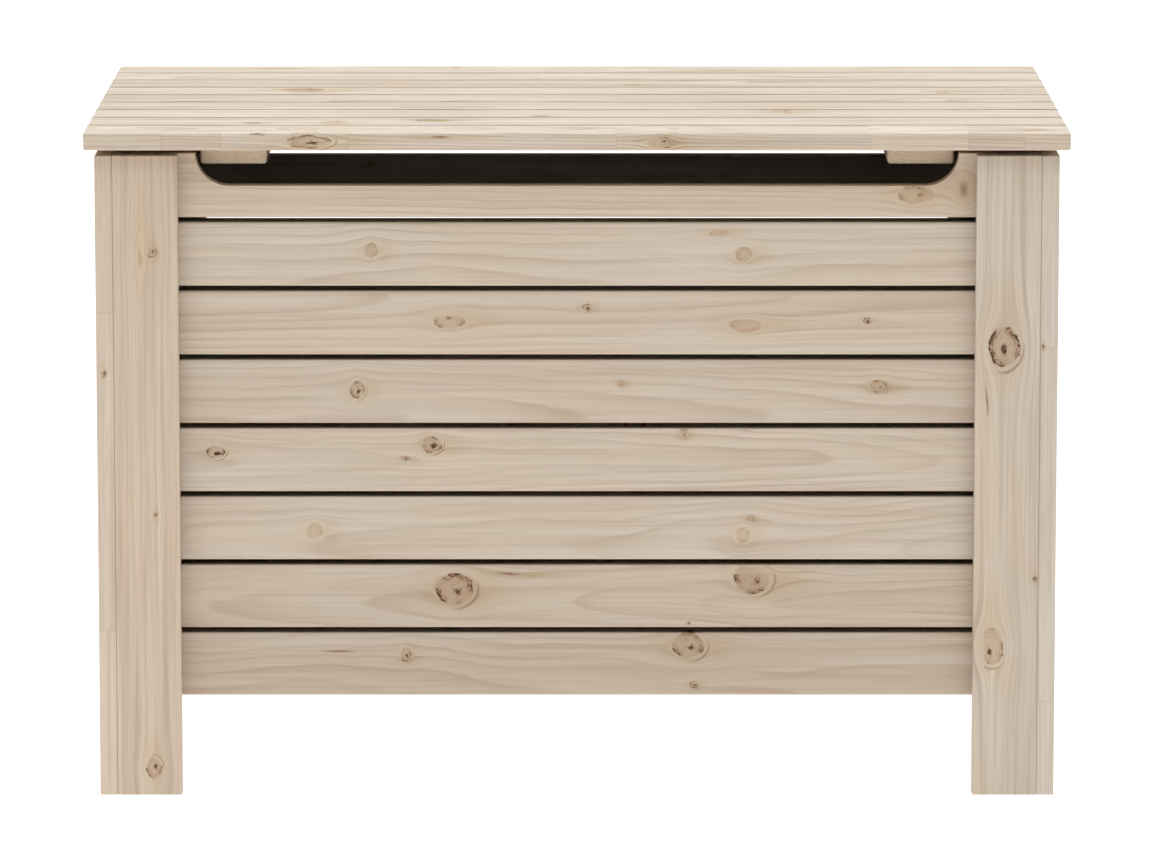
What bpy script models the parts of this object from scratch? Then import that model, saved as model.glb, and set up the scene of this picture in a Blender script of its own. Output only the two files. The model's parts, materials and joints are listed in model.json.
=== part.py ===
"""Wooden toy box: pine boards on four L-shaped legs, a slatted lid on two butt hinges, a folding lid stay.

Metres, +Z up. The origin is on the floor under the middle of the box. The front is at -Y, the hinges at +Y.
"""

from math import atan2, hypot, radians

import bmesh
import bpy
from mathutils import Euler, Matrix, Vector

# Planed pine stock. All boards but the lid's battens are cut from it.
BOARD_WIDTH = 0.058
BOARD_THICKNESS = 0.016
JOINT_GAP = 0.0003          # the gap between two pieces that touch
BOARD_EDGE = 0.0012         # chamfer on a board's edges
LID_EDGE = 0.0016           # the rounder edges of the lid's boards

# Carcass
BODY_WIDTH = 0.864          # across the outer faces of the legs
BODY_DEPTH = 0.530          # front face of the legs to back face
LEG_HEIGHT = 0.5835
PLANKS_PER_WALL = 8
PLANK_WIDTH = 0.0575        # board stock with its edges trued up
PLANK_START = 0.0889        # height of the lowest plank's lower edge
PLANK_PITCH = 0.06245
BACK_PLANK_PITCH = 0.0630   # the back wall's planks stand a little further apart
BACK_TOP_PLANK_WIDTH = 0.0541

# Hand cut-out in the front wall's top plank
CUTOUT_WIDTH = 0.686
CUTOUT_BOTTOM = 0.5544
CUTOUT_CORNER = 0.031

# Plywood bottom, held in grooves of the lowest planks
PANEL_THICKNESS = 0.004
PANEL_UNDERSIDE = 0.1010
GROOVE_DEPTH = 0.006

# Lid
LID_SLATS = 9
LID_WIDTH = 0.882
LID_GAP = 0.0058            # from the legs' tops to the slats' undersides
SLAT_WIDTH = 0.0572
SLAT_GAP = 0.0045
BATTEN_WIDTH = 0.060
BATTEN_THICKNESS = 0.017
BATTEN_OUTER_X = 0.339
BATTEN_FRONT_Y = -0.2315
BATTEN_REAR_Y = 0.228

# Hinges
HINGE_AXIS_Y = 0.2684
HINGE_AXIS_Z = 0.5864
HINGE_CENTRE_X = 0.387
HINGE_WIDTH = 0.050
KNUCKLES = 5
KNUCKLE_RADIUS = 0.0026
KNUCKLE_GAP = 0.0004
LEAF_THICKNESS = 0.0016
LEAF_LENGTH = 0.042
PIN_RADIUS = 0.0012
PIN_BORE = 0.0016
SCREW_HOLE = 0.0021

# Folding lid stay: a parallelogram with the hinge axis, so its arms follow the lid exactly
STAY_THICKNESS = 0.002
STAY_LAYER = 0.0027         # from one layer of the stay to the next, across the box
STAY_ARM_WIDTH = 0.016
STAY_PLATE_X = 0.3976       # inner face of the wall plate
STAY_FOOT = (0.130, 0.3674)     # Y and Z of the lower pivot
STAY_HEAD = (0.1232, 0.5724)    # Y and Z of the pivot on the lid's bracket
STAY_PIN = 0.0028
STAY_HOLE = 0.0033
STAY_RIVET_HEAD = 0.0048
STAY_HEAD_HEIGHT = 0.0011

PINE = (0.80, 0.66, 0.50)
PLYWOOD = (0.78, 0.66, 0.50)
STEEL = (0.62, 0.62, 0.60)

LID_UNDERSIDE = LEG_HEIGHT + LID_GAP
WALL_OUTER_X = BODY_WIDTH / 2 - BOARD_THICKNESS
WALL_INNER_X = WALL_OUTER_X - BOARD_THICKNESS
WALL_OUTER_Y = BODY_DEPTH / 2 - BOARD_THICKNESS - JOINT_GAP
WALL_INNER_Y = WALL_OUTER_Y - BOARD_THICKNESS


def clear_scene():
    for old in list(bpy.data.objects):
        bpy.data.objects.remove(old, do_unlink=True)


def new_collection(name):
    collection = bpy.data.collections.new(name)
    bpy.context.scene.collection.children.link(collection)
    return collection


def new_material(name, colour, roughness, metallic=0.0):
    material = bpy.data.materials.new(name)
    material.use_nodes = True
    shader = material.node_tree.nodes["Principled BSDF"]
    shader.inputs["Base Color"].default_value = (*colour, 1.0)
    shader.inputs["Roughness"].default_value = roughness
    shader.inputs["Metallic"].default_value = metallic
    return material


def new_axis(name, x, y, z):
    """An empty on a joint's axis; the pieces that turn there are its children."""
    axis = bpy.data.objects.new(name, None)
    axis.empty_display_size = 0.03
    axis.location = (x, y, z)
    PARTS.objects.link(axis)
    return axis


def link_mesh(shape, name, location, collection, material=None):
    """Turn a bmesh into an object of a collection."""
    mesh = bpy.data.meshes.new(name)
    shape.to_mesh(mesh)
    shape.free()
    piece = bpy.data.objects.new(name, mesh)
    piece.location = location
    collection.objects.link(piece)
    if material:
        mesh.materials.append(material)
    return piece


def box_shape(size):
    shape = bmesh.new()
    bmesh.ops.create_cube(shape, size=1.0, matrix=Matrix.Diagonal((*size, 1.0)))
    return shape


def round_edges(shape, keep, radius, segments):
    """Round the edges of a box that the keep test picks by their two end points."""
    edges = [e for e in shape.edges if keep(e.verts[0].co, e.verts[1].co)]
    bmesh.ops.bevel(shape, geom=edges, offset=radius, segments=segments, profile=0.5, affect='EDGES')


def runs_along(axis):
    return lambda a, b: abs(abs((a - b).normalized()[axis]) - 1.0) < 1e-4


def add_bevel(piece, width, segments=1):
    bevel = piece.modifiers.new("edge", 'BEVEL')
    bevel.width = width
    bevel.segments = segments
    bevel.limit_method = 'ANGLE'
    bevel.angle_limit = radians(40)


def board(name, low, high, edge=BOARD_EDGE, segments=1, material=None):
    """A board between two corners, with its edges eased."""
    low, high = Vector(low), Vector(high)
    piece = link_mesh(box_shape(high - low), name, (low + high) / 2, PARTS, material or PINE_WOOD)
    add_bevel(piece, edge, segments)
    return piece


def rod_shape(radius, length, sides):
    """A cylinder along X."""
    shape = bmesh.new()
    turn = Euler((0.0, radians(90), 0.0)).to_matrix().to_4x4()
    bmesh.ops.create_cone(shape, cap_ends=True, segments=sides, radius1=radius, radius2=radius,
                          depth=length, matrix=turn)
    return shape


def hidden_tool(piece):
    piece.hide_render = True
    piece.display_type = 'WIRE'
    return piece


def block_tool(low, high):
    low, high = Vector(low), Vector(high)
    return hidden_tool(link_mesh(box_shape(high - low), "block", (low + high) / 2, CUTTERS))


def rod_tool(x_low, x_high, y, z, radius, sides=24):
    rod = link_mesh(rod_shape(radius, x_high - x_low, sides), "rod", ((x_low + x_high) / 2, y, z), CUTTERS)
    rod.data.shade_smooth()
    return hidden_tool(rod)


def combine(piece, tool, operation):
    step = piece.modifiers.new(operation.lower(), 'BOOLEAN')
    step.operation = operation
    step.solver = 'EXACT'
    step.object = tool


def hang_on(axis, *pieces):
    """Make pieces the children of a joint's empty without moving them."""
    for piece in pieces:
        piece.parent = axis
        piece.location = piece.location - axis.location


def mirrored(side, low_x, high_x):
    """The span of X on the left (side -1) or right (side 1), low value first."""
    return sorted((side * low_x, side * high_x))


def make_legs():
    """Each leg is an L of two boards: one faces the front or back, the other covers its edge at the side."""
    half_width, half_depth = BODY_WIDTH / 2, BODY_DEPTH / 2
    for side, side_name in ((-1, "left"), (1, "right")):
        for end, end_name in ((-1, "front"), (1, "back")):
            name = f"leg_{end_name}_{side_name}"
            x = mirrored(side, WALL_OUTER_X - BOARD_WIDTH, WALL_OUTER_X)
            y = mirrored(end, half_depth - BOARD_THICKNESS, half_depth)
            board(f"{name}_face", (x[0], y[0], 0.0), (x[1], y[1], LEG_HEIGHT))
            x = mirrored(side, WALL_OUTER_X + JOINT_GAP, half_width)
            y = mirrored(end, half_depth - BOARD_WIDTH, half_depth)
            board(f"{name}_side", (x[0], y[0], 0.0), (x[1], y[1], LEG_HEIGHT))


def plank_span(index, wall):
    """Lower and upper edge of a wall's plank, counted from 0 at the bottom."""
    if wall != "back":
        low = PLANK_START + index * PLANK_PITCH
        return low, low + PLANK_WIDTH
    if index == PLANKS_PER_WALL - 1:
        top = PLANK_START + index * PLANK_PITCH + PLANK_WIDTH
        return top - BACK_TOP_PLANK_WIDTH, top
    low = PLANK_START + index * BACK_PLANK_PITCH
    return low, low + PLANK_WIDTH


def make_walls():
    """Front and back planks stop at the side planks, which run between the legs behind their side boards."""
    long_x = WALL_INNER_X - JOINT_GAP
    side_y = WALL_OUTER_Y
    for index in range(PLANKS_PER_WALL):
        for end, wall in ((-1, "front"), (1, "back")):
            low, high = plank_span(index, wall)
            y = mirrored(end, WALL_INNER_Y, WALL_OUTER_Y)
            plank = board(f"{wall}_plank_{index + 1}", (-long_x, y[0], low), (long_x, y[1], high))
            if index == 0:
                cut_groove(plank)
            if wall == "front" and index == PLANKS_PER_WALL - 1:
                cut_hand_opening(plank)
        for side, wall in ((-1, "left"), (1, "right")):
            low, high = plank_span(index, wall)
            x = mirrored(side, WALL_INNER_X, WALL_OUTER_X)
            plank = board(f"{wall}_plank_{index + 1}", (x[0], -side_y, low), (x[1], side_y, high))
            if index == 0:
                cut_groove(plank)


def make_groove_cutter():
    reach = GROOVE_DEPTH + JOINT_GAP
    x, y = WALL_INNER_X + reach, WALL_INNER_Y + reach
    return block_tool((-x, -y, PANEL_UNDERSIDE - JOINT_GAP),
                      (x, y, PANEL_UNDERSIDE + PANEL_THICKNESS + JOINT_GAP))


def cut_groove(plank):
    combine(plank, GROOVE_CUTTER, 'DIFFERENCE')


def cut_hand_opening(plank):
    """A wide opening at the plank's top edge, its two lower corners round."""
    height = 0.080
    shape = box_shape((CUTOUT_WIDTH, 0.060, height))
    along_y = runs_along(1)
    round_edges(shape, lambda a, b: along_y(a, b) and a.z < 0.0, CUTOUT_CORNER, 10)
    middle = (0.0, -(WALL_INNER_Y + WALL_OUTER_Y) / 2, CUTOUT_BOTTOM + height / 2)
    opening = hidden_tool(link_mesh(shape, "hand_opening", middle, CUTTERS))
    edge = plank.modifiers["edge"]
    plank.modifiers.remove(edge)
    combine(plank, opening, 'DIFFERENCE')
    add_bevel(plank, BOARD_EDGE)


def make_bottom():
    x = WALL_INNER_X + GROOVE_DEPTH
    y = WALL_INNER_Y + GROOVE_DEPTH
    corner = BOARD_THICKNESS    # the panel's corners are nipped off, clear of the planks' butt joints
    size = (2 * x, 2 * y, PANEL_THICKNESS)
    shape = box_shape(size)
    round_edges(shape, runs_along(2), corner, 1)
    middle = (0.0, 0.0, PANEL_UNDERSIDE + PANEL_THICKNESS / 2)
    link_mesh(shape, "bottom_panel", middle, PARTS, PLYWOOD_SHEET)


def make_lid():
    """Nine slats run from side to side, on two battens that run from front to back."""
    pitch = SLAT_WIDTH + SLAT_GAP
    depth = LID_SLATS * SLAT_WIDTH + (LID_SLATS - 1) * SLAT_GAP
    top = LID_UNDERSIDE + BOARD_THICKNESS
    for index in range(LID_SLATS):
        y = -depth / 2 + index * pitch
        slat = board(f"lid_slat_{index + 1}", (-LID_WIDTH / 2, y, LID_UNDERSIDE),
                     (LID_WIDTH / 2, y + SLAT_WIDTH, top), LID_EDGE, 2)
        hang_on(LID_AXIS, slat)
    for side, name in ((-1, "left"), (1, "right")):
        x = mirrored(side, BATTEN_OUTER_X - BATTEN_WIDTH, BATTEN_OUTER_X)
        underside = LID_UNDERSIDE - JOINT_GAP
        batten = board(f"lid_batten_{name}", (x[0], BATTEN_FRONT_Y, underside - BATTEN_THICKNESS),
                       (x[1], BATTEN_REAR_Y, underside), LID_EDGE, 2)
        hang_on(LID_AXIS, batten)


def knuckle_spans(centre_x, owner):
    """The X spans of a leaf's knuckles: the box leaf has the odd ones, the lid leaf those between."""
    step = HINGE_WIDTH / KNUCKLES
    start = centre_x - HINGE_WIDTH / 2
    for index in range(KNUCKLES):
        if index % 2 == (0 if owner == "box" else 1):
            low = start + index * step + KNUCKLE_GAP / 2
            yield low, low + step - KNUCKLE_GAP


def add_screw_holes(leaf, centre_x, across, along):
    """Three holes in a leaf, two near the free edge and one nearer the knuckles."""
    for dx, share in ((-0.016, 0.72), (0.016, 0.72), (0.0, 0.38)):
        place = Vector((centre_x + dx, 0.0, 0.0)) + along * share + across
        shape = bmesh.new()
        bmesh.ops.create_cone(shape, cap_ends=True, segments=16, radius1=SCREW_HOLE, radius2=SCREW_HOLE,
                              depth=0.008)
        hole = hidden_tool(link_mesh(shape, "screw_hole", place, CUTTERS))
        through = along.normalized().cross(Vector((1.0, 0.0, 0.0)))
        hole.rotation_euler = through.to_track_quat('Z', 'Y').to_euler()
        combine(leaf, hole, 'DIFFERENCE')


def make_box_leaf(name, centre_x):
    """The leaf screwed upright to the back of a leg; the hinge pin is staked into its knuckles."""
    outer_y = BODY_DEPTH / 2 + JOINT_GAP
    low_z = HINGE_AXIS_Z - LEAF_LENGTH
    high_z = HINGE_AXIS_Z - KNUCKLE_RADIUS - KNUCKLE_GAP
    shape = box_shape((HINGE_WIDTH, LEAF_THICKNESS, high_z - low_z))
    along_y = runs_along(1)
    round_edges(shape, lambda a, b: along_y(a, b) and a.z < 0.0, 0.005, 4)
    middle = (centre_x, outer_y + LEAF_THICKNESS / 2, (low_z + high_z) / 2)
    leaf = link_mesh(shape, name, middle, PARTS, PLATED_STEEL)
    for low, high in knuckle_spans(centre_x, "box"):
        tab = block_tool((low, outer_y, high_z - 0.002), (high, outer_y + LEAF_THICKNESS, HINGE_AXIS_Z))
        combine(leaf, tab, 'UNION')
        combine(leaf, rod_tool(low, high, HINGE_AXIS_Y, HINGE_AXIS_Z, KNUCKLE_RADIUS), 'UNION')
    reach = HINGE_WIDTH / 2 + 0.0006
    pin = rod_tool(centre_x - reach, centre_x + reach, HINGE_AXIS_Y, HINGE_AXIS_Z, PIN_RADIUS, 16)
    combine(leaf, pin, 'UNION')
    add_screw_holes(leaf, centre_x, Vector((0.0, outer_y, HINGE_AXIS_Z)), Vector((0.0, 0.0, -LEAF_LENGTH)))


def make_lid_leaf(name, centre_x):
    """The leaf screwed flat under the lid's last slat."""
    top = LID_UNDERSIDE - JOINT_GAP
    low_y = HINGE_AXIS_Y - LEAF_LENGTH
    high_y = HINGE_AXIS_Y - KNUCKLE_RADIUS - KNUCKLE_GAP
    shape = box_shape((HINGE_WIDTH, high_y - low_y, LEAF_THICKNESS))
    along_z = runs_along(2)
    round_edges(shape, lambda a, b: along_z(a, b) and a.y < 0.0, 0.005, 4)
    middle = (centre_x, (low_y + high_y) / 2, top - LEAF_THICKNESS / 2)
    leaf = link_mesh(shape, name, middle, PARTS, PLATED_STEEL)
    for low, high in knuckle_spans(centre_x, "lid"):
        tab = block_tool((low, high_y - 0.002, top - LEAF_THICKNESS), (high, HINGE_AXIS_Y, top))
        combine(leaf, tab, 'UNION')
        combine(leaf, rod_tool(low, high, HINGE_AXIS_Y, HINGE_AXIS_Z, KNUCKLE_RADIUS), 'UNION')
    half = HINGE_WIDTH / 2
    bore = rod_tool(centre_x - half, centre_x + half, HINGE_AXIS_Y, HINGE_AXIS_Z, PIN_BORE, 16)
    combine(leaf, bore, 'DIFFERENCE')
    add_screw_holes(leaf, centre_x, Vector((0.0, HINGE_AXIS_Y, top)), Vector((0.0, -LEAF_LENGTH, 0.0)))
    hang_on(LID_AXIS, leaf)


def make_hinges():
    for side, name in ((-1, "left"), (1, "right")):
        make_box_leaf(f"hinge_{name}_box_leaf", side * HINGE_CENTRE_X)
        make_lid_leaf(f"hinge_{name}_lid_leaf", side * HINGE_CENTRE_X)


def stay_arm(name, x, foot, angle, length):
    """A flat bar with round ends, from its foot pivot along an angle in the Y-Z plane."""
    shape = box_shape((STAY_THICKNESS, length + STAY_ARM_WIDTH, STAY_ARM_WIDTH))
    round_edges(shape, runs_along(0), STAY_ARM_WIDTH * 0.4999, 8)
    bmesh.ops.translate(shape, verts=shape.verts, vec=(0.0, length / 2, 0.0))
    arm = link_mesh(shape, name, (x, *foot), PARTS, PLATED_STEEL)
    arm.rotation_euler.x = angle
    return arm


def add_pin(piece, pivot, x_from, x_to):
    """A pin from a piece's own layer through its neighbour, with a flat rivet head at the far end."""
    direction = 1.0 if x_to > x_from else -1.0
    stem = sorted((x_from, x_to + direction * STAY_HEAD_HEIGHT * 0.5))
    head = sorted((x_to, x_to + direction * STAY_HEAD_HEIGHT))
    combine(piece, rod_tool(*stem, *pivot, STAY_PIN, 20), 'UNION')
    combine(piece, rod_tool(*head, *pivot, STAY_RIVET_HEAD, 24), 'UNION')


def add_hole(piece, pivot, x):
    combine(piece, rod_tool(x - STAY_LAYER, x + STAY_LAYER, *pivot, STAY_HOLE, 20), 'DIFFERENCE')


def make_wall_plate(x, lower_x):
    """The plate screwed to the right wall, with the lower pivot's pin and a lug that stops the arm."""
    width, height = 0.036, 0.046
    shape = box_shape((STAY_THICKNESS, width, height))
    round_edges(shape, runs_along(0), 0.006, 4)
    plate = link_mesh(shape, "stay_wall_plate", (x, STAY_FOOT[0] + 0.004, STAY_FOOT[1]), PARTS, PLATED_STEEL)
    add_pin(plate, STAY_FOOT, x, lower_x - STAY_LAYER + STAY_THICKNESS / 2)
    stop_y = STAY_FOOT[0] + STAY_ARM_WIDTH / 2 + 0.0009
    lug = block_tool((lower_x - STAY_THICKNESS / 2, stop_y, STAY_FOOT[1] + 0.012),
                     (x, stop_y + 0.0025, STAY_FOOT[1] + 0.020))
    combine(plate, lug, 'UNION')


def make_lid_bracket(ear_x, upper_x):
    """An angle under the lid's seventh slat; its ear carries the stay's upper pin."""
    top = LID_UNDERSIDE - JOINT_GAP
    y, z = STAY_HEAD
    half, flange_width, ear_radius = 0.016, 0.022, 0.008
    low_x, high_x = ear_x - flange_width, ear_x + STAY_THICKNESS / 2
    low_z = z - ear_radius
    shape = box_shape((high_x - low_x, 2 * half, top - low_z))
    along_x = runs_along(0)
    round_edges(shape, lambda a, b: along_x(a, b) and a.z < 0.0, ear_radius, 5)
    middle = ((low_x + high_x) / 2, y, (top + low_z) / 2)
    bracket = link_mesh(shape, "stay_lid_bracket", middle, PARTS, PLATED_STEEL)
    waste = block_tool((low_x - 0.001, y - 2 * half, low_z - 0.001),
                       (high_x - STAY_THICKNESS, y + 2 * half, top - STAY_THICKNESS))
    combine(bracket, waste, 'DIFFERENCE')
    add_pin(bracket, STAY_HEAD, ear_x, upper_x + STAY_LAYER - STAY_THICKNESS / 2)
    hang_on(LID_AXIS, bracket)


def make_stay():
    """Wall plate, lower arm, upper arm and lid bracket, in layers from the right wall inwards."""
    plate_x = STAY_PLATE_X + STAY_THICKNESS / 2
    lower_x = plate_x - STAY_LAYER
    upper_x = lower_x - STAY_LAYER
    ear_x = upper_x - STAY_LAYER
    crank = Vector((STAY_HEAD[0] - HINGE_AXIS_Y, STAY_HEAD[1] - HINGE_AXIS_Z))
    coupler = Vector((HINGE_AXIS_Y - STAY_FOOT[0], HINGE_AXIS_Z - STAY_FOOT[1]))
    elbow = (STAY_FOOT[0] + crank.x, STAY_FOOT[1] + crank.y)
    lower_axis = new_axis("stay_lower_axis", lower_x, *STAY_FOOT)
    elbow_axis = new_axis("stay_elbow_axis", upper_x, *elbow)

    make_wall_plate(plate_x, lower_x)
    lower = stay_arm("stay_lower_arm", lower_x, STAY_FOOT, atan2(crank.y, crank.x), hypot(*crank))
    add_hole(lower, STAY_FOOT, lower_x)
    add_hole(lower, elbow, lower_x)
    upper = stay_arm("stay_upper_arm", upper_x, elbow, atan2(coupler.y, coupler.x), hypot(*coupler))
    add_pin(upper, elbow, upper_x, lower_x + STAY_LAYER - STAY_THICKNESS / 2)
    add_hole(upper, STAY_HEAD, upper_x)
    hang_on(lower_axis, lower)
    hang_on(elbow_axis, upper)
    make_lid_bracket(ear_x, upper_x)


clear_scene()
PARTS = new_collection("wooden_toy_box")
CUTTERS = new_collection("cutters")
PINE_WOOD = new_material("pine", PINE, 0.55)
PLYWOOD_SHEET = new_material("plywood", PLYWOOD, 0.6)
PLATED_STEEL = new_material("plated_steel", STEEL, 0.35, 1.0)
LID_AXIS = new_axis("lid_axis", 0.0, HINGE_AXIS_Y, HINGE_AXIS_Z)
GROOVE_CUTTER = make_groove_cutter()

make_legs()
make_walls()
make_bottom()
make_lid()
make_hinges()
make_stay()
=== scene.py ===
"""Looks of the wooden toy box: knotty pine boards, zinc-plated hinges and stay, screws, bumpers, studio."""

import json
import math
import random

import bmesh
import bpy
from mathutils import Matrix, Vector


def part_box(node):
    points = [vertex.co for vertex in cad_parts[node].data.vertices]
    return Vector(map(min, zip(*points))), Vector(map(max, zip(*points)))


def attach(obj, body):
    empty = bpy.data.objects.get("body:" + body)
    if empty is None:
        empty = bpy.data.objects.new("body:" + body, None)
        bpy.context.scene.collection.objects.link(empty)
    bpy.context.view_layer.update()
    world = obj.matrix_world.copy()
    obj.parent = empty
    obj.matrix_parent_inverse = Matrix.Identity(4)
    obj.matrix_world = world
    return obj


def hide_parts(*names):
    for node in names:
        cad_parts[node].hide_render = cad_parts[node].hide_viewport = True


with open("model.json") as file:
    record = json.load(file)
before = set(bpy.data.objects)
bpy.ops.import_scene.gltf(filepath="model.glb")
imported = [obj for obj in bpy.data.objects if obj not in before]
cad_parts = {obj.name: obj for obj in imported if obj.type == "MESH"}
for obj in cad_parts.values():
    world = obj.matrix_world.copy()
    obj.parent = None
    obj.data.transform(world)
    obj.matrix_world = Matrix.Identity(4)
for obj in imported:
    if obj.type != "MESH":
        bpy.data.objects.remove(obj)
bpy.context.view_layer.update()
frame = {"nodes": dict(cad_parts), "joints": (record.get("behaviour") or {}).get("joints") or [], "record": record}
NODES = frame["nodes"]
SUBPARTS = frame["record"]["subparts"]
BODIES = frame["record"]["behaviour"]["bodies"]
BODY_OF_NODE = {node: body for body, nodes in BODIES.items() for node in nodes}

# Rounding of the boards' edges, in metres
LEG_EDGE = 0.0010
PLANK_EDGE = 0.0026
LID_INNER_EDGE = 0.00012
LID_OUTER_EDGE = 0.0018
BATTEN_EDGE = 0.0030
# Edges with a larger angle between their faces are sharp
SHARP_EDGE = math.radians(35)
# A leg's face board reaches this far into its side board, so that the joint between them is closed
LEG_SEAM = 0.00025
# The hand opening at the top of the front wall: width, height of its lower edge, corner radius
CUTOUT_WIDTH = 0.686
CUTOUT_BOTTOM = 0.5544
CUTOUT_CORNER = 0.031

# Pine colours, linear light
EARLY_WOOD = (0.725, 0.580, 0.440)
EARLY_WOOD_GREY = (0.715, 0.586, 0.458)
LATE_WOOD = (0.450, 0.300, 0.175)
KNOT_WOOD = (0.520, 0.340, 0.205)
KNOT_BROWN = (0.310, 0.165, 0.082)
KNOT_DARK = (0.075, 0.030, 0.015)
RESIN_STAIN = (0.640, 0.455, 0.260)
END_GRAIN = (0.560, 0.415, 0.280)


# ---------------------------------------------------------------- shader arithmetic

# The least distance that something is divided by
TINY = 1e-5


class Term:
    """A float or vector in a material, with arithmetic that adds nodes."""

    def __init__(self, tree, socket):
        self.tree = tree
        self.socket = socket

    def _math(self, operation, *values):
        node = self.tree.nodes.new("ShaderNodeMath")
        node.operation = operation
        for slot, value in zip(node.inputs, values):
            feed(self.tree, slot, value)
        return Term(self.tree, node.outputs[0])

    def __add__(self, other):
        return self._math('ADD', self, other)

    def __radd__(self, other):
        return self._math('ADD', other, self)

    def __sub__(self, other):
        return self._math('SUBTRACT', self, other)

    def __rsub__(self, other):
        return self._math('SUBTRACT', other, self)

    def __mul__(self, other):
        return self._math('MULTIPLY', self, other)

    def __rmul__(self, other):
        return self._math('MULTIPLY', other, self)

    def __truediv__(self, other):
        return self._math('DIVIDE', self, other)

    def power(self, exponent):
        return self._math('POWER', self, exponent)

    def root(self):
        return self._math('SQRT', self)

    def fraction(self):
        return self._math('FRACT', self)

    def size(self):
        return self._math('ABSOLUTE', self)

    def sine(self):
        return self._math('SINE', self)

    def more(self, other):
        return self._math('MAXIMUM', self, other)

    def above(self, limit):
        return self._math('GREATER_THAN', self, limit)

    def step(self, start, end):
        """0 before start, 1 after end, smooth between; start may be the larger one."""
        low, high = min(start, end), max(start, end)
        node = self.tree.nodes.new("ShaderNodeMapRange")
        node.interpolation_type = 'SMOOTHSTEP'
        feed(self.tree, node.inputs["Value"], self)
        node.inputs["From Min"].default_value = low
        node.inputs["From Max"].default_value = high
        node.inputs["To Min"].default_value = 0.0 if start < end else 1.0
        node.inputs["To Max"].default_value = 1.0 if start < end else 0.0
        return Term(self.tree, node.outputs["Result"])

    def parts(self):
        node = self.tree.nodes.new("ShaderNodeSeparateXYZ")
        feed(self.tree, node.inputs[0], self)
        return [Term(self.tree, out) for out in node.outputs]


def feed(tree, slot, value):
    if isinstance(value, Term):
        tree.links.new(value.socket, slot)
    else:
        slot.default_value = value


def vector(tree, x, y, z):
    node = tree.nodes.new("ShaderNodeCombineXYZ")
    for slot, value in zip(node.inputs, (x, y, z)):
        feed(tree, slot, value)
    return Term(tree, node.outputs[0])


def noise(tree, point, detail=2.0, rough=0.5):
    """Noise from 0 to 1, about one feature per unit of the point's coordinates."""
    node = tree.nodes.new("ShaderNodeTexNoise")
    node.inputs["Scale"].default_value = 1.0
    node.inputs["Detail"].default_value = detail
    node.inputs["Roughness"].default_value = rough
    feed(tree, node.inputs["Vector"], point)
    return Term(tree, node.outputs["Fac"])


def mix(tree, share, first, second):
    node = tree.nodes.new("ShaderNodeMix")
    node.data_type = 'RGBA'
    feed(tree, node.inputs[0], share)
    for slot, value in ((node.inputs[6], first), (node.inputs[7], second)):
        feed(tree, slot, value if isinstance(value, Term) else (*value, 1.0))
    return Term(tree, node.outputs[2])


def scale_colour(tree, colour, factor):
    """A colour times a grey factor."""
    node = tree.nodes.new("ShaderNodeVectorMath")
    node.operation = 'SCALE'
    feed(tree, node.inputs[0], colour)
    feed(tree, node.inputs["Scale"], factor)
    return Term(tree, node.outputs[0])


def multiply(tree, colour, factors):
    """A colour times a colour."""
    node = tree.nodes.new("ShaderNodeVectorMath")
    node.operation = 'MULTIPLY'
    feed(tree, node.inputs[0], colour)
    feed(tree, node.inputs[1], factors)
    return Term(tree, node.outputs[0])


def new_material(name):
    material = bpy.data.materials.new(name)
    material.use_nodes = True
    tree = material.node_tree
    return material, tree, tree.nodes["Principled BSDF"]


def new_group(name, inputs):
    """A node group with float inputs, and its inputs by name."""
    tree = bpy.data.node_groups.new(name, "ShaderNodeTree")
    for title in inputs:
        tree.interface.new_socket(title, in_out='INPUT', socket_type="NodeSocketFloat")
    entry = tree.nodes.new("NodeGroupInput")
    return tree, {title: Term(tree, entry.outputs[title]) for title in inputs}


def close_group(tree, results, kinds=()):
    for title in results:
        kind = dict(kinds).get(title, "NodeSocketFloat")
        tree.interface.new_socket(title, in_out='OUTPUT', socket_type=kind)
    leave = tree.nodes.new("NodeGroupOutput")
    for title, term in results.items():
        feed(tree, leave.inputs[title], term)
    return tree


def use_group(tree, group, values):
    node = tree.nodes.new("ShaderNodeGroup")
    node.node_tree = group
    for title, value in values.items():
        feed(tree, node.inputs[title], value)
    return {out.name: Term(tree, out) for out in node.outputs}


def object_point(tree):
    """The place in the piece's own axes, and the direction of its surface there."""
    node = tree.nodes.new("ShaderNodeTexCoord")
    return Term(tree, node.outputs["Object"]), Term(tree, node.outputs["Normal"])


def add_bump(tree, shader, height, distance):
    node = tree.nodes.new("ShaderNodeBump")
    node.inputs["Strength"].default_value = 1.0
    node.inputs["Distance"].default_value = distance
    feed(tree, node.inputs["Height"], height)
    tree.links.new(node.outputs[0], shader.inputs["Normal"])


# ---------------------------------------------------------------- pine

class Knot:
    """A branch stub in a board.

    along and across are its place from the board's middle, and radius its size, in metres. dark is its
    strength, and stretch its length along the grain over its width. A knot that is cut off at a joint keeps
    only one side: cut is the direction of its flat side over its distance in radii. A knot with edge=True is
    on the board's narrow side. core is the size of its dark middle, and centre is where the middle is, in
    radii. Without a rim it is a soft resin streak.
    """

    def __init__(self, along, across, radius, dark=0.6, stretch=1.15, cut=(0.0, 0.0), edge=False,
                 core=None, centre=(0.20, -0.16), rim=True):
        self.along = along
        self.across = across
        self.radius = radius
        self.dark = dark
        self.stretch = stretch
        self.cut = cut
        self.edge = edge
        self.core = core if core is not None else (1.0 if radius > 0.004 else 2.0)
        self.centre = centre
        self.rim = rim


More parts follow.
